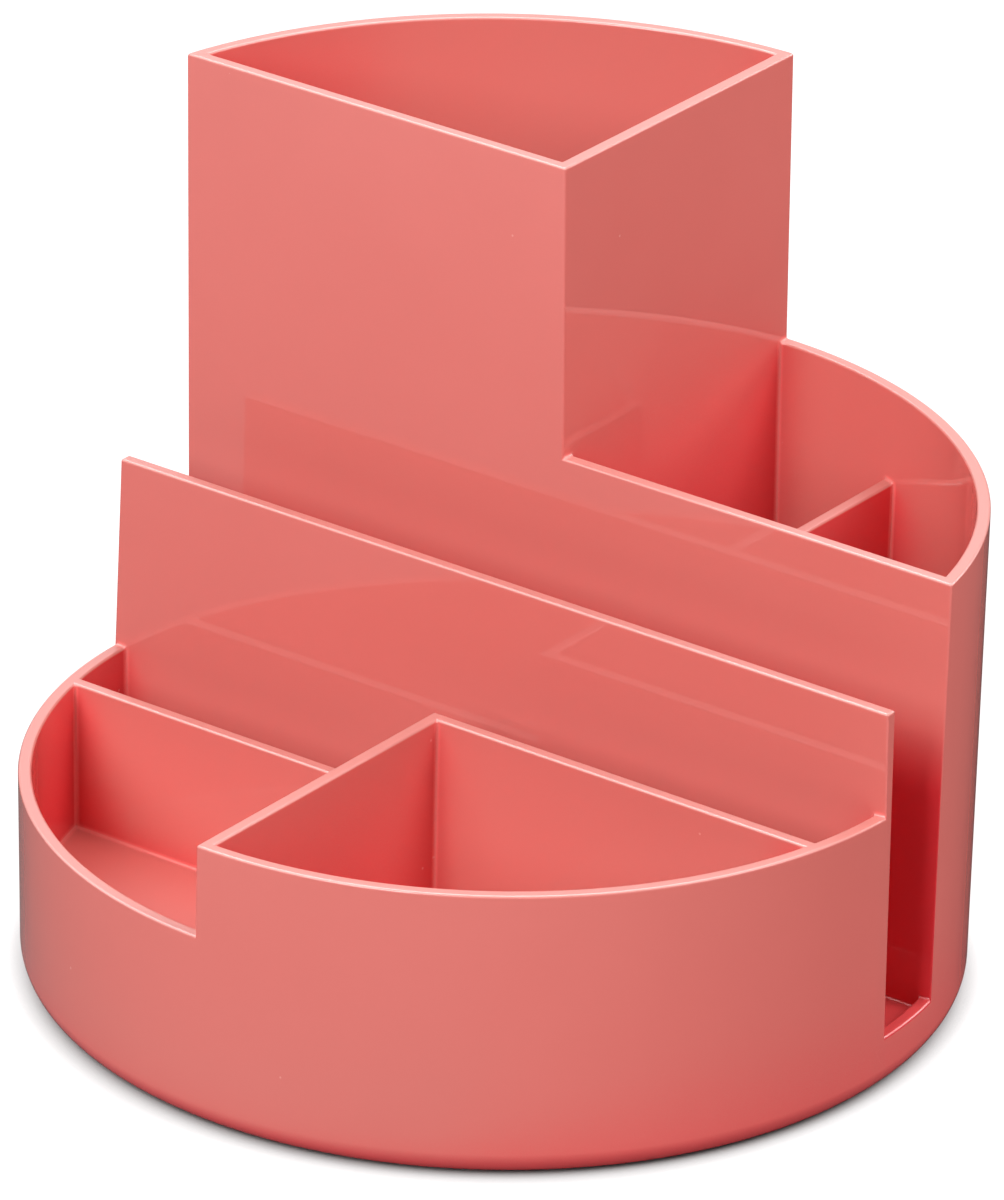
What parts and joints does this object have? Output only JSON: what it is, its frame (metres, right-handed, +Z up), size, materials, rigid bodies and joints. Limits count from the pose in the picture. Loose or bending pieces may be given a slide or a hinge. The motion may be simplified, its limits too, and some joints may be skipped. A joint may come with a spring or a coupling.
{
  "type": "round desk organizer",
  "caption": "Round stepped desk organizer with a tall pen cup at the rear, a letter slot across the middle and open bins behind and in front of it.",
  "frame": {"origin": "on the round body's axis, on the surface that it stands on", "axes": "+X along the letter slot to the low bins' right, +Y from the front bins to the pen cup, +Z up"},
  "size_m": [0.1383, 0.1392, 0.1194],
  "materials": {
    "coral_plastic": "gloss moulded polystyrene in coral, the same on every face"
  },
  "bodies": {
    "root": {"base_pan": "coral_plastic", "slot_end_sills": "coral_plastic", "slot_front_plate": "coral_plastic", "pen_cup_front_wall": "coral_plastic", "rear_bin_front_wall": "coral_plastic", "pen_cup_side_wall": "coral_plastic", "pen_cup_curved_wall": "coral_plastic", "rear_bin_curved_wall": "coral_plastic", "rear_bin_divider": "coral_plastic", "front_low_curved_wall": "coral_plastic", "front_high_curved_wall": "coral_plastic", "front_centre_divider": "coral_plastic", "front_right_divider": "coral_plastic", "front_left_divider": "coral_plastic"}
  },
  "joints": []
}
